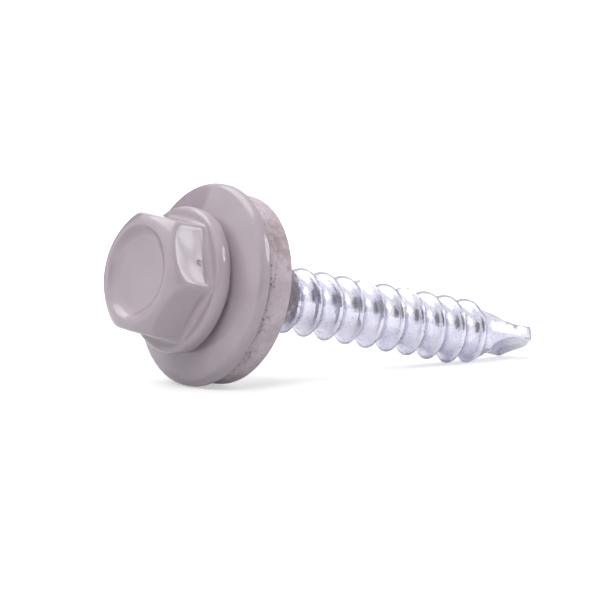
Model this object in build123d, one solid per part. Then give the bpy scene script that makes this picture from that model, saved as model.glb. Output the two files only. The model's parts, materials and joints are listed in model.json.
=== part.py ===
from build123d import *
import math
import os

os.makedirs("parts", exist_ok=True)

# Sizes in mm. Heights are measured along the screw's axis from the flange's bearing face:
# the drill point is on the plus side and the hex head on the minus side.

# Hex head and flange
hex_across_flats = 8.0
hex_corner_radius = 0.45       # softened by forging and paint
hex_turn = 34.4                # degrees, where a corner stands round the axis
head_height = 4.6              # top rim over the bearing face, flange included
crown_top_radius = 3.55        # where the rounded crown meets the top rim
crown_depth = 1.9              # how far the crown reaches down the corners
crown_bulge = 0.28             # how far its curve stands out from a straight chamfer
flange_diameter = 10.1
flange_thickness = 1.35
flange_rim_radius = 0.42
flange_under_chamfer = 0.2
hex_root_radius = 0.1          # small hollow between the flats and the flange

# Recess in the top of the head
recess_lip_width = 0.2         # flat ring between the crown and the recess
recess_wall_width = 0.45       # how far the sloping wall comes in
recess_depth = 0.55

# Shank and thread
shank_diameter = 4.1
thread_major_diameter = 4.7
thread_root_diameter = 3.5
thread_pitch = 1.835
thread_angle = 60.0            # degrees between the flanks
thread_run_in = 1.5            # length over which the crest rises behind the washer
thread_run_out = 1.7           # length over which the crest fades at the drill point
thread_turn = 158.0            # degrees, where the thread starts round the shank
core_taper_length = 0.6        # from the shank down to the thread's root

# Drill point
screw_length = 30.0            # bearing face to the tip
drill_length = 4.4             # plain fluted part, shoulder and tip included
drill_diameter = 3.7
drill_point_angle = 122.0      # degrees between the two lips
flute_length = 4.7
flute_radius = 7.0             # the hollow across a flute
flute_end_radius = 3.0         # where a flute runs out towards the thread
web_thickness = 0.51           # between the two flutes
blade_turn = 65.8              # degrees, where the blades stand round the axis

# Dished metal washer
washer_diameter = 14.0
washer_thickness = 0.8
washer_flat_diameter = 7.6     # flat middle that takes the flange
washer_rise = 0.8              # how far the rim is bent towards the drill point
washer_rim_chamfer = 0.25

# Bonded seal
seal_inset = 0.3               # how far the seal stays inside the metal washer's rim
seal_taper = 0.2               # how much narrower it is at its back, on the radius
seal_thickness = 2.25          # behind the metal washer's rim
seal_edge_chamfer = 0.18

# Fits
bearing_clearance = 0.02       # flange to metal washer
washer_bore_clearance = 0.2    # metal washer round the shank, on the radius
seal_bore_clearance = 0.06     # seal round the shank, on the radius
thread_clearance = 0.25        # thread start behind the seal
thread_sunk = 0.12             # how deep the thread's foot stands in the core
fade_margin = 0.2              # how far over the crest the form that fades it starts

# Heights that follow from the sizes above
washer_front = bearing_clearance
washer_flat_back = washer_front + washer_thickness
washer_back = washer_flat_back + washer_rise
seal_back = washer_back + seal_thickness
thread_start = seal_back + thread_clearance
thread_crest = thread_major_diameter / 2
thread_foot = thread_root_diameter / 2 - thread_sunk
foot_half = (thread_crest - thread_foot) * math.tan(math.radians(thread_angle / 2))
ridge_start = thread_start - foot_half
drill_start = screw_length - drill_length
drill_cone = drill_diameter / 2 / math.tan(math.radians(drill_point_angle / 2))
drill_shoulder = screw_length - drill_cone
crest_end = drill_start - thread_run_out
flute_depth = drill_diameter / 2 - web_thickness / 2
flute_run_out = math.sqrt(flute_depth * (2 * flute_end_radius - flute_depth))


def outline(*points):
    """A closed outline of straight lines through (radius, height) points."""
    return make_face(Polyline(*[(r, 0, z) for r, z in points], close=True))


def turned(face):
    """A solid of revolution about the screw's axis."""
    return revolve(face, Axis.Z)


def head_form():
    """The turned form that trims the hex: rounded crown, top rim and recess."""
    reach = hex_across_flats / math.sqrt(3) + hex_corner_radius
    crown_end = crown_depth - head_height
    lip = crown_top_radius - recess_lip_width
    floor = recess_depth - head_height
    slope = Vector(reach - crown_top_radius, 0, crown_depth)
    middle = Vector(crown_top_radius, 0, -head_height) + slope * 0.5
    outward = Vector(slope.Z, 0, -slope.X).normalized()
    crown = ThreePointArc((reach, 0, crown_end), middle + outward * crown_bulge,
                          (crown_top_radius, 0, -head_height))
    inside = Polyline((crown_top_radius, 0, -head_height), (lip, 0, -head_height),
                      (lip - recess_wall_width, 0, floor), (0, 0, floor), (0, 0, 0),
                      (reach, 0, 0), (reach, 0, crown_end))
    return turned(make_face([crown, inside]))


def hex_block():
    """The hex prism with softened corners."""
    base = RegularPolygon(hex_across_flats / 2, 6, major_radius=False, rotation=hex_turn)
    return extrude(fillet(base.vertices(), hex_corner_radius), -head_height)


def flange():
    """The round flange, its outer rim rounded off in two steps."""
    radius = flange_diameter / 2
    step = flange_rim_radius * (1 - math.sqrt(0.5))
    top = -flange_thickness
    return turned(outline(
        (0, 0), (radius - flange_under_chamfer, 0), (radius, -flange_under_chamfer),
        (radius, top + flange_rim_radius), (radius - step, top + step),
        (radius - flange_rim_radius, top), (0, top)))


def head():
    """Hex and flange, with the small hollow where the flats meet the flange."""
    body = (hex_block() & head_form()) + flange()
    level = body.edges().filter_by(lambda e: abs((e @ 0.5).Z + flange_thickness) < 0.001)
    foot = level.filter_by(lambda e: e.geom_type != GeomType.CIRCLE)
    return fillet(foot, hex_root_radius)


def core():
    """Shank, thread core and the solid form of the drill point."""
    root = thread_root_diameter / 2
    return turned(outline(
        (0, -flange_thickness), (shank_diameter / 2, -flange_thickness),
        (shank_diameter / 2, thread_start), (root, thread_start + core_taper_length),
        (root, drill_start), (drill_diameter / 2, drill_shoulder), (0, screw_length)))


def thread_envelope():
    """Turned form that lets the crest rise behind the washer and fade at the drill point."""
    over = thread_crest + fade_margin
    return turned(outline(
        (0, thread_start), (thread_foot, thread_start), (over, thread_start + thread_run_in),
        (over, crest_end), (thread_foot, drill_start), (0, drill_start)))


def thread():
    """The right-hand thread ridge, swept along a helix and faded at both ends."""
    length = drill_start + foot_half - ridge_start
    path = Helix(thread_pitch, length, thread_foot, center=(0, 0, ridge_start))
    plane = Plane(origin=path @ 0, x_dir=(1, 0, 0), z_dir=path % 0)
    profile = plane * make_face(Polyline((0, -foot_half), (thread_crest - thread_foot, 0),
                                         (0, foot_half), close=True))
    ridge = sweep(profile, path=path, is_frenet=True)
    return Rot(0, 0, thread_turn) * ridge & thread_envelope()


def flute():
    """One forged flute: a long concave hollow that runs out in a curve towards the thread."""
    low = screw_length - flute_length + flute_run_out - flute_end_radius
    high = low + screw_length
    face = outline((0, low), (flute_radius, low), (flute_radius, high), (0, high))
    corner = face.vertices().sort_by(Axis.Z)[:2].sort_by(Axis.X)[-1:]
    hollow = turned(fillet(corner, flute_end_radius))
    return Pos(flute_radius + web_thickness / 2, 0, 0) * hollow


def screw():
    """The whole screw: threaded and fluted shank first, then the head."""
    bar = Cylinder(thread_root_diameter / 2, drill_start,
                   align=(Align.CENTER, Align.CENTER, Align.MIN))
    shank = bar + thread() + core()
    for side in (0, 180):
        shank -= Rot(0, 0, blade_turn + 90 + side) * flute()
    return shank + head()


def dish(radius, front):
    """Height of a dished surface at a radius, for one that starts at the height front."""
    outside = max(0, radius - washer_flat_diameter / 2)
    return front + washer_rise * outside / (washer_diameter / 2 - washer_flat_diameter / 2)


def metal_washer():
    """The dished steel washer with its bevelled front rim."""
    bore = shank_diameter / 2 + washer_bore_clearance
    flat = washer_flat_diameter / 2
    rim = washer_diameter / 2
    face = outline((bore, washer_front), (flat, washer_front), (rim, dish(rim, washer_front)),
                   (rim, washer_back), (flat, washer_flat_back), (bore, washer_flat_back))
    front_edge = face.vertices().filter_by(lambda v: v.X > (flat + rim) / 2).sort_by(Axis.Z)[:1]
    return turned(chamfer(front_edge, washer_rim_chamfer))


def seal_ring():
    """The rubber ring, bonded over the whole back of the metal washer."""
    bore = shank_diameter / 2 + seal_bore_clearance
    flat = washer_flat_diameter / 2
    front = washer_diameter / 2 - seal_inset
    back = front - seal_taper
    face = outline((bore, washer_flat_back), (flat, washer_flat_back),
                   (front, dish(front, washer_flat_back)), (back, seal_back), (bore, seal_back))
    back_edge = face.vertices().sort_by(Axis.Z)[-2:].sort_by(Axis.X)[-1:]
    return turned(chamfer(back_edge, seal_edge_chamfer))


def rest_slope(threaded, washer):
    """Slope of the axis, in degrees, at which the screw and the washer both touch the ground."""
    level, steep = 0, 45
    while steep - level > 0.001:
        middle = (level + steep) / 2
        lean = Rot(0, 90 + middle, 0)
        if (lean * threaded).bounding_box().min.Z > (lean * washer).bounding_box().min.Z:
            level = middle
        else:
            steep = middle
    return steep


# Each piece is laid down as it rests, with the drill point towards +X.
pieces = {"screw": screw(), "metal_washer": metal_washer(), "seal_ring": seal_ring()}
lean = Rot(0, 90 + rest_slope(pieces["screw"], pieces["metal_washer"]), 0)
lying = {name: lean * solid for name, solid in pieces.items()}
box = Compound(list(lying.values())).bounding_box()
place = Pos(-box.center().X, -box.center().Y, -box.min.Z)
for name, solid in lying.items():
    solid = place * solid
    print(name, solid.is_valid, round(solid.volume, 2), len(solid.solids()), solid.bounding_box())
    export_step(solid, f"parts/{name}.step")
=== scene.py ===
"""A painted self drilling screw with its sealing washer: pieces, finishes, stage and camera."""
import json
import math

import bmesh
import bpy
from bpy.props import FloatProperty, FloatVectorProperty, PointerProperty
from mathutils import Matrix, Vector


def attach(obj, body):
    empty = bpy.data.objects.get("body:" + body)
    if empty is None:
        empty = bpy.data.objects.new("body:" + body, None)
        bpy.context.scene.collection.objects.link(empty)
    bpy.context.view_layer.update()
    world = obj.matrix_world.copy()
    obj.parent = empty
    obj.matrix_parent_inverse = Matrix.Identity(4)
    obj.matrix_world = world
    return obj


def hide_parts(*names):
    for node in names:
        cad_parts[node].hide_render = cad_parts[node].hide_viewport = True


bl_info = {
    "name": "Self Drilling Screw",
    "version": (1, 0, 0),
    "blender": (4, 5, 0),
    "location": "3D View > Sidebar > Screw",
    "description": "Paints a self drilling screw with a sealing washer and sets its stage",
    "category": "Object",
}

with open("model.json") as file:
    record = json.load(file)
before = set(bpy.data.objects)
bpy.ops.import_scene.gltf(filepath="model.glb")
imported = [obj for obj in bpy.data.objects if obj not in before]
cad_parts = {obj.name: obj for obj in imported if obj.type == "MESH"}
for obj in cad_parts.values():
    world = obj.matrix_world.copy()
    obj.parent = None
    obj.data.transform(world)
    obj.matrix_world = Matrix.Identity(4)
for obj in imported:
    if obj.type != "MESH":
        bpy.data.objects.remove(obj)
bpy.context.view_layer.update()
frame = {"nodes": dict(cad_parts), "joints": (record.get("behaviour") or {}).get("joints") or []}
MM = 0.001

# Heights along the axis are measured from the flange's bearing face, towards the drill point.
HINGE_HEIGHT = 1.62 * MM        # the washer's joint
SHANK_START = 0.5 * MM          # where the CAD's head is cut off the shank
FLANGE_GAP = 0.02 * MM          # between the flange and the washer
WASHER_BORE = 2.25 * MM         # radius of the hole in the metal
SEAL_BORE = 2.11 * MM           # radius of the hole in the rubber
SEAL_INSET = 0.3 * MM           # how far the seal stays inside the washer's rim
SEAL_TAPER = 0.2 * MM           # how much its back is smaller
CORNER_EXTRA = 0.45 * MM        # the blank stands out past the sharp hex's corners
DISH_FLOOR = 2.72 * MM          # radius of the dish's flat bottom
RIM_RADIUS = 0.4 * MM           # rounding of the flange's upper edge
CORNER_SHARPNESS = 48           # higher for harder corners between the hex's walls
PRESS_SHARPNESS = 60            # higher for a harder edge between the crown and the walls

# Spots and heights in the finishes are in mm, in the screw's own frame.
DENT_SPOT, DENT_RADIUS = (-1.28, -3.82, -2.2), 0.3
STAIN_SPOT, STAIN_OUTER, STAIN_INNER = (-3.6, -5.4, 3.3), 3.0, 0.6
SPRAY_FROM, SPRAY_TO = 8.9, 8.3  # full overspray is nearer to the head, and its edge is ragged
DARK_GRIME = 0.3                # colour of the grime's specks, as a share of the grime
SPRAY_COLOUR = (0.36, 0.31, 0.34, 1)
SPECK_COLOUR = (0.18, 0.18, 0.22, 1)

# The stage is in metres.
FLOOR_HALF = 2.0
FLAG_HALF = 0.02
FLAG_SIDE = math.radians(34)    # from the camera's heading
FLAG_DISTANCE = 0.055
HEAD_SPOT = (-0.0165, 0.0, 0.022)
CARD_SIDE = math.radians(185)   # where the dark part of the sky is, from the camera's heading
CARD_FLAT, CARD_HEIGHT = 0.93, 0.37
LAMPS = (  # name, shape, place and size in metres, energy in watts, seen in reflections
    ("key", "ELLIPSE", (-0.2, -0.2, 0.3), (0.2, 0.2), 0.7, False),
    ("fill", "ELLIPSE", (-0.24, 0.16, 0.3), (0.3, 0.3), 0.45, False),
    ("top", "ELLIPSE", (-0.02, 0.12, 0.3), (0.3, 0.3), 0.5, True),
    ("pane_left", "RECTANGLE", (0.191, -0.18, 0.163), (0.05, 0.1), 0.075, True),
    ("pane_right", "RECTANGLE", (0.226, -0.128, 0.163), (0.05, 0.1), 0.075, True),
)
LAMP_AIM = (0.0, 0.0, 0.006)
LENS, SENSOR_WIDTH = 351.6, 36.0
AIM_RIGHT, AIM_UP = 6.25 * MM, -1.003 * MM      # the view's middle, from the joint


def length(name, description, default):
    """A size in metres, given in millimetres."""
    return FloatProperty(name=name, description=description, default=default * MM,
                         unit="LENGTH", precision=5, min=0.0)


def tint(name, description, default):
    """A colour as it is seen on a screen, kept as linear light."""
    linear = [((c / 255 + 0.055) / 1.055) ** 2.4 if c > 10 else c / 255 / 12.92 for c in default]
    return FloatVectorProperty(name=name, description=description, default=linear,
                               subtype="COLOR", size=3, min=0.0, max=1.0)


def angle(name, description, default):
    """An angle, given in degrees."""
    return FloatProperty(name=name, description=description, default=math.radians(default),
                         unit="ROTATION", subtype="ANGLE")


class HeadSizes(bpy.types.PropertyGroup):
    """Sizes of the painted hex head and its flange."""
    across_flats: length("Across flats", "Width of the hex between two flats", 8.0)
    height: length("Height", "Top of the head over the flange's bearing face", 4.6)
    top_radius: length("Top radius", "Where the crown meets the rim of the recess", 3.55)
    crown_depth: length("Crown depth", "How far the crown reaches down the corners", 1.9)
    crown_bulge: length("Crown bulge", "How far the crown stands out from a straight cone", 0.28)
    recess_depth: length("Recess depth", "Depth of the dish in the top", 0.55)
    flange_radius: length("Flange radius", "Outer radius of the flange", 5.05)
    flange_thickness: length("Flange thickness", "Thickness of the flange at its rim", 1.35)
    turn: angle("Turn", "Where a corner of the hex stands round the axis", 34.4)


class WasherSizes(bpy.types.PropertyGroup):
    """Sizes of the dished metal washer and of its seal."""
    radius: length("Radius", "Outer radius of the metal washer", 7.0)
    flat_radius: length("Flat radius", "Radius of the flat middle", 3.8)
    rise: length("Rise", "How far the rim is bent back", 0.8)
    thickness: length("Thickness", "Sheet thickness", 0.8)
    seal_thickness: length("Seal thickness", "Rubber behind the washer's rim", 2.25)


class Colours(bpy.types.PropertyGroup):
    """Colours of the finishes."""
    paint: tint("Paint", "Gloss paint on head and washer", (178, 165, 175))
    rubber: tint("Rubber", "Seal under its overspray", (203, 189, 199))
    zinc: tint("Zinc", "Bright zinc plating", (231, 229, 243))
    grime: tint("Grime", "Brown dust that sticks to the seal", (140, 120, 108))


class StageSettings(bpy.types.PropertyGroup):
    """Camera and light."""
    heading: angle("Heading", "Direction the camera looks in, from +X towards +Y", 53.48)
    elevation: angle("Elevation", "Height of the camera over the floor's level", 6.12)
    distance: length("Distance", "Camera to the washer", 400.0)
    light: FloatProperty(name="Light", description="Level of the lamps", default=1.0, min=0.0)
    sky: FloatProperty(name="Sky", description="Level of the light from all round", default=0.22,
                       min=0.0)


# ---------------------------------------------------------------- places

def axis_frame():
    """Matrix from the screw's own frame (Z towards the drill point, X down) to the world."""
    joint = frame["joints"][0]
    along = Vector(joint["axis"]).normalized()
    side = Vector((0, 1, 0))
    down = side.cross(along)
    seat = Vector(joint["pos_m"]) - along * HINGE_HEIGHT
    return Matrix.Translation(seat) @ Matrix((down, side, along)).transposed().to_4x4()


def finished(name, bm, body, slot, material, *nodes):
    """Puts a modelled piece where the screw lies and gives it its body and finish."""
    bmesh.ops.transform(bm, matrix=axis_frame(), verts=bm.verts)
    bmesh.ops.recalc_face_normals(bm, faces=bm.faces)
    mesh = bpy.data.meshes.new(name)
    bm.to_mesh(mesh)
    bm.free()
    mesh.shade_smooth()
    mesh.materials.append(material)
    piece = bpy.data.objects.new(name, mesh)
    bpy.context.collection.objects.link(piece)
    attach(piece, body)
    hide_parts(*nodes)
    return piece


def turned(profile, steps, closed=False, soft=(), segments=6):
    """Spins a profile of (radius, height) points round the axis. soft: {point index: radius}."""
    bm = bmesh.new()
    verts = [bm.verts.new((r, 0, z)) for r, z in profile]
    pairs = list(zip(verts, verts[1:] + verts[:1])) if closed else list(zip(verts, verts[1:]))
    for pair in pairs:
        bm.edges.new(pair)
    for index, radius in dict(soft).items():
        bmesh.ops.bevel(bm, geom=[verts[index]], offset=radius, offset_type="OFFSET",
                        segments=segments, profile=0.5, affect="VERTICES", material=-1)
    bmesh.ops.spin(bm, geom=bm.verts[:] + bm.edges[:], cent=(0, 0, 0), axis=(0, 0, 1),
                   angle=math.tau, steps=steps, use_merge=True)
    bmesh.ops.remove_doubles(bm, verts=bm.verts, dist=1e-7)
    bmesh.ops.recalc_face_normals(bm, faces=bm.faces)
    return bm


# ---------------------------------------------------------------- shader groups

def group_of(name, inputs, outputs):
    """An empty shader node group with its sockets, each (name, kind, default)."""
    group = bpy.data.node_groups.new(name, "ShaderNodeTree")
    for way, sockets in (("INPUT", inputs), ("OUTPUT", outputs)):
        for label, kind, default in sockets:
            socket = group.interface.new_socket(label, in_out=way, socket_type="NodeSocket" + kind)
            if default is not None:
                socket.default_value = default
    return group, group.nodes.new("NodeGroupInput"), group.nodes.new("NodeGroupOutput")


def feed(tree, made, links):
    """Joins a node's inputs to sockets or sets them to values."""
    for key, value in links.items():
        if isinstance(value, bpy.types.NodeSocket):
            tree.links.new(value, made.inputs[key])
        else:
            made.inputs[key].default_value = value
    return made


def node(tree, kind, links=None, **settings):
    """Adds a node, sets its properties and feeds its inputs."""
    made = tree.nodes.new("ShaderNode" + kind)
    for key, value in settings.items():
        setattr(made, key, value)
    return feed(tree, made, links or {})


def ramp(tree, factor, low, high):
    """0 below low, 1 over high, smooth between."""
    made = node(tree, "MapRange", {"Value": factor, "From Min": low, "From Max": high},
                interpolation_type="SMOOTHSTEP")
    return made.outputs["Result"]


def maths(tree, operation, a, b=0.0):
    """One step of arithmetic."""
    return node(tree, "Math", {0: a, 1: b}, operation=operation).outputs[0]


def mixed(tree, factor, a, b):
    """The colour b laid over the colour a."""
    made = node(tree, "Mix", data_type="RGBA", blend_type="MIX", clamp_result=True)
    return feed(tree, made, {0: factor, 6: a, 7: b}).outputs[2]


def noise(tree, vector, scale, detail=2.0, rough=0.5):
    """Soft noise, about 0.5 on average. scale counts its grains over one unit of the vector."""
    made = node(tree, "TexNoise", {"Vector": vector, "Scale": scale, "Detail": detail,
                                   "Roughness": rough})
    return made.outputs["Fac"]


def along_the_screw():
    """Group: a point in the screw's own frame and its height along the axis, in mm."""
    group, _, out = group_of("Along the screw", [], [
        ("Point", "Vector", None), ("Height", "Float", None)])
    place = axis_frame()
    seen = node(group, "TexCoord").outputs["Object"]
    local = node(group, "Mapping", {"Vector": seen, "Location": place.translation,
                                    "Rotation": place.to_euler(), "Scale": (MM, MM, MM)},
                 vector_type="TEXTURE").outputs[0]
    parts = node(group, "SeparateXYZ", {0: local})
    group.links.new(local, out.inputs["Point"])
    group.links.new(parts.outputs[2], out.inputs["Height"])
    return group


def place_group(tree, group, links=None):
    """Places a shader group in a material."""
    made = tree.nodes.new("ShaderNodeGroup")
    made.node_tree = group
    return feed(tree, made, links or {})


def specks_group():
    """Group: a mask of fine specks, 1 on a speck, with how much of the surface they cover."""
    group, given, out = group_of("Specks", [
        ("Point", "Vector", None), ("Fineness", "Float", 6.0), ("Cover", "Float", 0.1)],
        [("Mask", "Float", None)])
    cells = node(group, "TexVoronoi", {"Vector": given.outputs["Point"],
                                       "Scale": given.outputs["Fineness"], "Randomness": 1.0})
    size = maths(group, "MULTIPLY", given.outputs["Cover"],
                 noise(group, given.outputs["Point"], 1.3, 3.0))
    mask = node(group, "MapRange", {"Value": cells.outputs["Distance"], "From Min": size,
                                    "From Max": 0.0}, interpolation_type="SMOOTHSTEP")
    group.links.new(mask.outputs["Result"], out.inputs["Mask"])
    return group


# ---------------------------------------------------------------- materials

def shaded(colour, share):
    """A colour made darker or lighter, with its alpha."""
    return [min(1.0, c * share) for c in colour] + [1]


def distance(tree, point, spot):
    """Distance in mm between a point of the screw and a spot on it."""
    return node(tree, "VectorMath", {0: point, 1: spot}, operation="DISTANCE").outputs["Value"]


def blank_material(name):
    """A material with its tree, its Principled shader and nothing else."""
    material = bpy.data.materials.new(name)
    material.use_nodes = True
    tree = material.node_tree
    return material, tree, tree.nodes["Principled BSDF"]


def gloss_paint(groups):
    """Thick gloss paint: soft clouds, a slow waviness, a fine orange peel and one small dent."""
    colours = bpy.context.scene.screw_colours
    material, tree, shader = blank_material("gloss_paint")
    place = place_group(tree, groups["place"])
    point = place.outputs["Point"]
    cloud = noise(tree, point, 0.35, 3.0)
    colour = mixed(tree, ramp(tree, cloud, 0.3, 0.75), shaded(colours.paint, 1.0),
                   shaded(colours.paint, 0.94))
    tree.links.new(colour, shader.inputs["Base Color"])
    wave = noise(tree, point, 0.5, 0.0)
    peel = noise(tree, point, 6.0, 2.0)
    height = maths(tree, "ADD", wave, maths(tree, "MULTIPLY", peel, 0.02))
    dent = ramp(tree, distance(tree, point, DENT_SPOT), DENT_RADIUS, 0.0)
    height = maths(tree, "SUBTRACT", height, dent)
    bump = node(tree, "Bump", {"Strength": 0.8, "Distance": 0.0001, "Height": height})
    tree.links.new(bump.outputs[0], shader.inputs["Normal"])
    tree.links.new(maths(tree, "ADD", 0.08, maths(tree, "MULTIPLY", cloud, 0.08)),
                   shader.inputs["Roughness"])
    shader.inputs["Specular IOR Level"].default_value = 0.7
    return material


def seal_rubber(groups):
    """Grey rubber under overspray: grainy, stained on one side, dark specks by the washer's rim."""
    colours = bpy.context.scene.screw_colours
    material, tree, shader = blank_material("sprayed_rubber")
    place = place_group(tree, groups["place"])
    point = place.outputs["Point"]
    cloud = noise(tree, point, 0.8, 4.0, 0.6)
    base = mixed(tree, ramp(tree, cloud, 0.3, 0.75), shaded(colours.rubber, 0.86),
                 shaded(colours.rubber, 1.1))
    patch = ramp(tree, distance(tree, point, STAIN_SPOT), STAIN_OUTER, STAIN_INNER)
    patch = maths(tree, "MULTIPLY", patch, 0.16)
    stain = ramp(tree, maths(tree, "ADD", noise(tree, point, 0.9, 4.0, 0.65), patch), 0.54, 0.8)
    base = mixed(tree, maths(tree, "MULTIPLY", stain, 0.55), base, shaded(colours.grime, 1.0))
    grime = place_group(tree, groups["specks"], {"Point": point, "Fineness": 3.2, "Cover": 0.9})
    joint = maths(tree, "MULTIPLY", ramp(tree, place.outputs["Height"], 2.9, 1.7), 0.7)
    share = maths(tree, "MULTIPLY", grime.outputs["Mask"], maths(tree, "ADD", joint, 0.15))
    base = mixed(tree, share, base, shaded(colours.grime, DARK_GRIME))
    tree.links.new(base, shader.inputs["Base Color"])
    grain = noise(tree, point, 9.0, 3.0, 0.6)
    bump = node(tree, "Bump", {"Strength": 0.5, "Distance": 0.00005, "Height": grain})
    tree.links.new(bump.outputs[0], shader.inputs["Normal"])
    shader.inputs["Roughness"].default_value = 0.55
    return material


def zinc_plating(groups):
    """Bright zinc with soft clouds and fine specks, under overspray next to the seal."""
    colours = bpy.context.scene.screw_colours
    material, tree, shader = blank_material("zinc_plating")
    place = place_group(tree, groups["place"])
    point, height = place.outputs["Point"], place.outputs["Height"]
    cloud = noise(tree, point, 0.7, 4.0, 0.6)
    metal = mixed(tree, ramp(tree, cloud, 0.35, 0.7), (*colours.zinc, 1),
                  [c * t for c, t in zip(colours.zinc, (0.82, 0.84, 0.9))] + [1])
    specks = place_group(tree, groups["specks"], {"Point": point, "Fineness": 3.4, "Cover": 0.6})
    metal = mixed(tree, maths(tree, "MULTIPLY", specks.outputs["Mask"], 0.5), metal,
                  SPECK_COLOUR)
    ragged = maths(tree, "MULTIPLY", noise(tree, point, 3.0, 4.0, 0.7), 1.6)
    edge = maths(tree, "ADD", height, ragged)
    spray = ramp(tree, edge, SPRAY_FROM, SPRAY_TO)
    tree.links.new(mixed(tree, spray, metal, SPRAY_COLOUR), shader.inputs["Base Color"])
    tree.links.new(maths(tree, "SUBTRACT", 1.0, spray), shader.inputs["Metallic"])
    rough = maths(tree, "ADD", 0.16, maths(tree, "MULTIPLY", cloud, 0.2))
    tree.links.new(maths(tree, "MAXIMUM", rough, maths(tree, "MULTIPLY", spray, 0.6)),
                   shader.inputs["Roughness"])
    grain = noise(tree, point, 2.6, 3.0, 0.6)
    bump = node(tree, "Bump", {"Strength": 0.5, "Distance": 0.00006, "Height": grain})
    tree.links.new(bump.outputs[0], shader.inputs["Normal"])
    return material


# ---------------------------------------------------------------- pieces

def hex_reach(turn, across_flats, bearing):
    """Distance from the axis to the hex's soft-cornered wall in one direction."""
    walls = [max(0.0, math.cos(bearing - turn - math.radians(60 * k + 30))) for k in range(6)]
    return across_flats / 2 * sum(w ** CORNER_SHARPNESS for w in walls) ** (-1 / CORNER_SHARPNESS)


def nearer(a, b):
    """The smaller of two radii, blended softly where they cross."""
    power = -PRESS_SHARPNESS
    return (a ** power * MM ** -power + b ** power * MM ** -power) ** (1 / power) * MM


class SCREW_OT_head(bpy.types.Operator):
    """Models the painted head: a turned blank pressed to a soft hex, on its round flange"""
    bl_idname = "screw.head"
    bl_label = "Painted Head"

    def execute(self, context):
        size = context.scene.screw_head
        corner = size.across_flats / math.sqrt(3) + CORNER_EXTRA
        foot = size.across_flats / 2
        top, shelf = -size.height, -size.flange_thickness
        profile = [(0, top + size.recess_depth), (DISH_FLOOR, top + size.recess_depth),
                   (size.top_radius - 0.3 * MM, top), (size.top_radius - 0.1 * MM, top)]
        for step in range(13):
            t = step / 12
            bulge = size.crown_bulge * 4 * t * (1 - t)
            profile.append((size.top_radius + (corner - size.top_radius) * t + bulge * 0.53,
                            top + size.crown_depth * t - bulge * 0.85))
        wall = [(corner, z * MM) for z in (-2.5, -2.35, -2.2, -2.05, -1.9, -1.8)]
        fillet = [(foot + r * MM, z * MM) for r, z in (
            (0, -1.74), (0.012, -1.66), (0.05, -1.56), (0.11, -1.47), (0.2, -1.4), (0.3, -1.36))]
        rim = size.flange_radius
        plate = [(foot + 0.4 * MM, shelf), (foot + 0.5 * MM, shelf), (rim - RIM_RADIUS, shelf)]
        for step in range(1, 9):
            a = math.radians(90 * step / 8)
            plate.append((rim - RIM_RADIUS * (1 - math.sin(a)),
                          shelf + RIM_RADIUS * (1 - math.cos(a))))
        plate += [(rim, -0.5 * MM), (rim - 0.04 * MM, -0.34 * MM), (rim - 0.18 * MM, -0.22 * MM),
                  (rim - 0.9 * MM, -0.18 * MM), (rim - 1.2 * MM, -0.02 * MM), (0, -0.02 * MM)]
        bm = turned(profile + wall + fillet + plate, 288, segments=8,
                    soft={3: 0.09 * MM, 2: 0.16 * MM, 1: 0.4 * MM})
        for vert in bm.verts:
            radius = math.hypot(vert.co.x, vert.co.y)
            if radius < 1e-6:
                continue
            hexed = hex_reach(size.turn, size.across_flats, math.atan2(vert.co.y, vert.co.x))
            if vert.co.z < -1.77 * MM:
                pressed = nearer(radius, hexed)
            elif vert.co.z < -0.06 * MM or radius > foot + 0.6 * MM:
                share = (radius - foot) / (rim - foot)
                pressed = hexed + share * (rim - hexed)
            else:
                pressed = radius
            vert.co.x *= pressed / radius
            vert.co.y *= pressed / radius
        finished("painted_head", bm, "screw", "painted_washer", bpy.data.materials["gloss_paint"],
                 "screw")
        return {"FINISHED"}


class SCREW_OT_shank(bpy.types.Operator):
    """Models the threaded shank with its drill point, without the head"""
    bl_idname = "screw.shank"
    bl_label = "Threaded Shank"

    def execute(self, context):
        bm = bmesh.new()
        bm.from_mesh(frame["nodes"]["screw"].data)
        bmesh.ops.transform(bm, matrix=axis_frame().inverted(), verts=bm.verts)
        bmesh.ops.remove_doubles(bm, verts=bm.verts, dist=2e-6)
        bmesh.ops.bisect_plane(bm, geom=bm.verts[:] + bm.edges[:] + bm.faces[:], dist=1e-7,
                               plane_co=(0, 0, SHANK_START), plane_no=(0, 0, -1), clear_outer=True)
        rim = [edge for edge in bm.edges if edge.is_boundary]
        bmesh.ops.holes_fill(bm, edges=rim, sides=0)
        piece = finished("threaded_shank", bm, "screw", "zinc_plated_steel",
                         bpy.data.materials["zinc_plating"], "screw")
        piece.data.set_sharp_from_angle(angle=math.radians(80))
        return {"FINISHED"}


class SCREW_OT_washer(bpy.types.Operator):
    """Models the dished metal washer with its rounded painted rim"""
    bl_idname = "screw.washer"
    bl_label = "Metal Washer"

    def execute(self, context):
        size = context.scene.screw_washer
        front, bore = FLANGE_GAP, WASHER_BORE
        back = front + size.thickness
        section = [(bore, front), (size.flat_radius, front), (size.radius, front + size.rise),
                   (size.radius, back + size.rise), (size.flat_radius, back), (bore, back)]
        bm = turned(section, 192, closed=True,
                    soft={1: 0.8 * MM, 2: 0.42 * MM, 3: 0.12 * MM, 4: 0.8 * MM})
        finished("painted_disc", bm, "sealing_washer", "painted_washer",
                 bpy.data.materials["gloss_paint"], "metal_washer")
        return {"FINISHED"}


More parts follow.
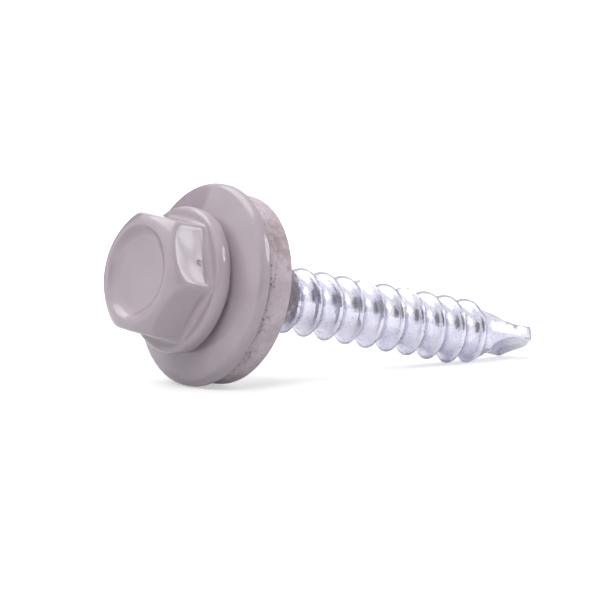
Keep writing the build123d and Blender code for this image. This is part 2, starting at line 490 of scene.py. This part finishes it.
class SCREW_OT_seal(bpy.types.Operator):
    """Models the rubber seal bonded to the back of the washer"""
    bl_idname = "screw.seal"
    bl_label = "Rubber Seal"

    def execute(self, context):
        size = context.scene.screw_washer
        bore = SEAL_BORE
        front = FLANGE_GAP + size.thickness
        edge = size.radius - SEAL_INSET
        rise = size.rise * (edge - size.flat_radius) / (size.radius - size.flat_radius)
        back = front + size.rise + size.seal_thickness
        section = [(bore, front), (size.flat_radius, front), (edge, front + rise),
                   (edge - SEAL_TAPER, back), (bore, back)]
        bm = turned(section, 192, closed=True, soft={3: 0.22 * MM})
        finished("rubber_seal", bm, "sealing_washer", "seal_rubber",
                 bpy.data.materials["sprayed_rubber"], "seal_ring")
        return {"FINISHED"}


class SCREW_OT_finishes(bpy.types.Operator):
    """Makes the shader groups and the finishes of the screw"""
    bl_idname = "screw.finishes"
    bl_label = "Finishes"

    def execute(self, context):
        groups = {"place": along_the_screw(), "specks": specks_group()}
        gloss_paint(groups)
        seal_rubber(groups)
        zinc_plating(groups)
        return {"FINISHED"}


class SCREW_OT_stage(bpy.types.Operator):
    """Lays the floor, hangs the lights and sets the camera"""
    bl_idname = "screw.stage"
    bl_label = "Stage"

    def execute(self, context):
        scene = context.scene
        stage = scene.screw_stage
        scene.view_settings.view_transform = "Standard"
        bm = bmesh.new()
        bmesh.ops.create_grid(bm, x_segments=1, y_segments=1, size=FLOOR_HALF)
        mesh = bpy.data.meshes.new("floor")
        bm.to_mesh(mesh)
        bm.free()
        floor = bpy.data.objects.new("floor", mesh)
        context.collection.objects.link(floor)
        material, tree, shader = blank_material("floor_white")
        path = node(tree, "LightPath")
        seen = maths(tree, "MAXIMUM", path.outputs["Is Camera Ray"],
                     maths(tree, "MAXIMUM", path.outputs["Is Glossy Ray"],
                           path.outputs["Is Transmission Ray"]))
        shader.inputs["Base Color"].default_value = (0.75, 0.75, 0.75, 1)
        shader.inputs["Roughness"].default_value = 1.0
        shader.inputs["Emission Color"].default_value = (1, 1, 1, 1)
        away = node(tree, "VectorMath", {0: node(tree, "TexCoord").outputs["Object"]},
                    operation="LENGTH").outputs["Value"]
        # the floor is white, but darker close to the screw where only reflections see it
        glow = maths(tree, "ADD", maths(tree, "MULTIPLY", ramp(tree, away, 0.03, 0.1), 0.5), 0.3)
        lift = maths(tree, "MULTIPLY", path.outputs["Is Camera Ray"], 0.2)
        white = maths(tree, "ADD", glow, lift)
        tree.links.new(maths(tree, "MULTIPLY", seen, white), shader.inputs["Emission Strength"])
        mesh.materials.append(material)
        self.hang_flag(stage)
        self.light_world(scene, stage)
        self.aim_camera(scene, stage)
        return {"FINISHED"}

    def hang_flag(self, stage):
        """A black card left of the head that shows in reflections only."""
        bm = bmesh.new()
        turn = stage.heading + FLAG_SIDE
        spot = Vector(HEAD_SPOT) + FLAG_DISTANCE * Vector((math.cos(turn), math.sin(turn), 0))
        bmesh.ops.create_grid(bm, x_segments=1, y_segments=1, size=FLAG_HALF, matrix=(
            Matrix.Translation(spot) @ Matrix.Rotation(turn, 4, "Z")
            @ Matrix.Rotation(math.radians(90), 4, "Y")))
        mesh = bpy.data.meshes.new("flag")
        bm.to_mesh(mesh)
        bm.free()
        flag = bpy.data.objects.new("flag", mesh)
        bpy.context.collection.objects.link(flag)
        material, _, shader = blank_material("flag_black")
        shader.inputs["Base Color"].default_value = (0.03, 0.03, 0.03, 1)
        shader.inputs["Roughness"].default_value = 1.0
        mesh.materials.append(material)
        flag.visible_camera = flag.visible_diffuse = flag.visible_shadow = False

    def light_world(self, scene, stage):
        """White surroundings that are dark behind the camera, soft lamps and a window."""
        world = bpy.data.worlds.new("studio")
        scene.world = world
        world.use_nodes = True
        tree = world.node_tree
        back = tree.nodes["Background"]
        path = node(tree, "LightPath")
        through = maths(tree, "MAXIMUM", path.outputs["Is Camera Ray"],
                        path.outputs["Is Transmission Ray"])
        direction = node(tree, "TexCoord").outputs["Generated"]
        turn = stage.heading + CARD_SIDE
        card = (CARD_FLAT * math.cos(turn), CARD_FLAT * math.sin(turn), CARD_HEIGHT)
        near = node(tree, "VectorMath", {0: direction, 1: card}, operation="DOT_PRODUCT")
        shade = ramp(tree, near.outputs["Value"], 0.82, 0.95)
        open_sky = maths(tree, "SUBTRACT", 1.0, maths(tree, "MULTIPLY", 0.96, shade))
        seen = maths(tree, "MAXIMUM", through, maths(
            tree, "MULTIPLY", path.outputs["Is Glossy Ray"], open_sky))
        tree.links.new(maths(tree, "MAXIMUM", seen, stage.sky), back.inputs["Strength"])
        back.inputs["Color"].default_value = (1, 1, 1, 1)
        for name, shape, spot, size, energy, reflected in LAMPS:
            data = bpy.data.lights.new(name, "AREA")
            data.shape = shape
            data.size, data.size_y = size
            data.energy = energy * stage.light
            lamp = bpy.data.objects.new(name, data)
            lamp.location = spot
            lamp.rotation_euler = (Vector(spot) - Vector(LAMP_AIM)).to_track_quat(
                "Z", "Y").to_euler()
            lamp.visible_glossy = reflected
            bpy.context.collection.objects.link(lamp)

    def aim_camera(self, scene, stage):
        """A camera a little over the floor that looks past the head to the drill point."""
        heading, rise = stage.heading, stage.elevation
        right = Vector((math.sin(heading), -math.cos(heading), 0))
        ahead = Vector((math.cos(rise) * math.cos(heading), math.cos(rise) * math.sin(heading),
                        -math.sin(rise)))
        up = right.cross(ahead)
        aim = Vector(frame["joints"][0]["pos_m"])
        spot = aim + AIM_RIGHT * right + AIM_UP * up - stage.distance * ahead
        data = bpy.data.cameras.new("camera")
        data.lens = LENS
        data.sensor_width = SENSOR_WIDTH
        data.clip_start = 0.01
        camera = bpy.data.objects.new("camera", data)
        camera.matrix_world = Matrix((right, up, -ahead)).transposed().to_4x4()
        camera.location = spot
        bpy.context.collection.objects.link(camera)
        scene.camera = camera


class SCREW_PT_panel(bpy.types.Panel):
    """Lists the steps that build the screw"""
    bl_label = "Self Drilling Screw"
    bl_idname = "SCREW_PT_panel"
    bl_space_type = "VIEW_3D"
    bl_region_type = "UI"
    bl_category = "Screw"

    def draw(self, context):
        for name in STEPS:
            self.layout.operator(f"screw.{name}")
        for group in ("screw_head", "screw_washer", "screw_colours", "screw_stage"):
            settings = getattr(context.scene, group)
            column = self.layout.box().column()
            for key in settings.__annotations__:
                column.prop(settings, key)


STEPS = ("finishes", "head", "shank", "washer", "seal", "stage")
GROUPS = {"screw_head": HeadSizes, "screw_washer": WasherSizes, "screw_colours": Colours,
          "screw_stage": StageSettings}
OPERATORS = (SCREW_OT_finishes, SCREW_OT_head, SCREW_OT_shank, SCREW_OT_washer, SCREW_OT_seal,
             SCREW_OT_stage)


def register():
    """Registers the settings, the operators and the panel."""
    for group in GROUPS.values():
        bpy.utils.register_class(group)
    for name, group in GROUPS.items():
        setattr(bpy.types.Scene, name, PointerProperty(type=group))
    for operator in (*OPERATORS, SCREW_PT_panel):
        bpy.utils.register_class(operator)


def unregister():
    """Takes back what register() did."""
    for operator in (*OPERATORS, SCREW_PT_panel):
        bpy.utils.unregister_class(operator)
    for name, group in GROUPS.items():
        delattr(bpy.types.Scene, name)
        bpy.utils.unregister_class(group)


def main():
    """Builds the whole scene in order."""
    register()
    for name in STEPS:
        getattr(bpy.ops.screw, name)()


if __name__ == "__main__":
    main()
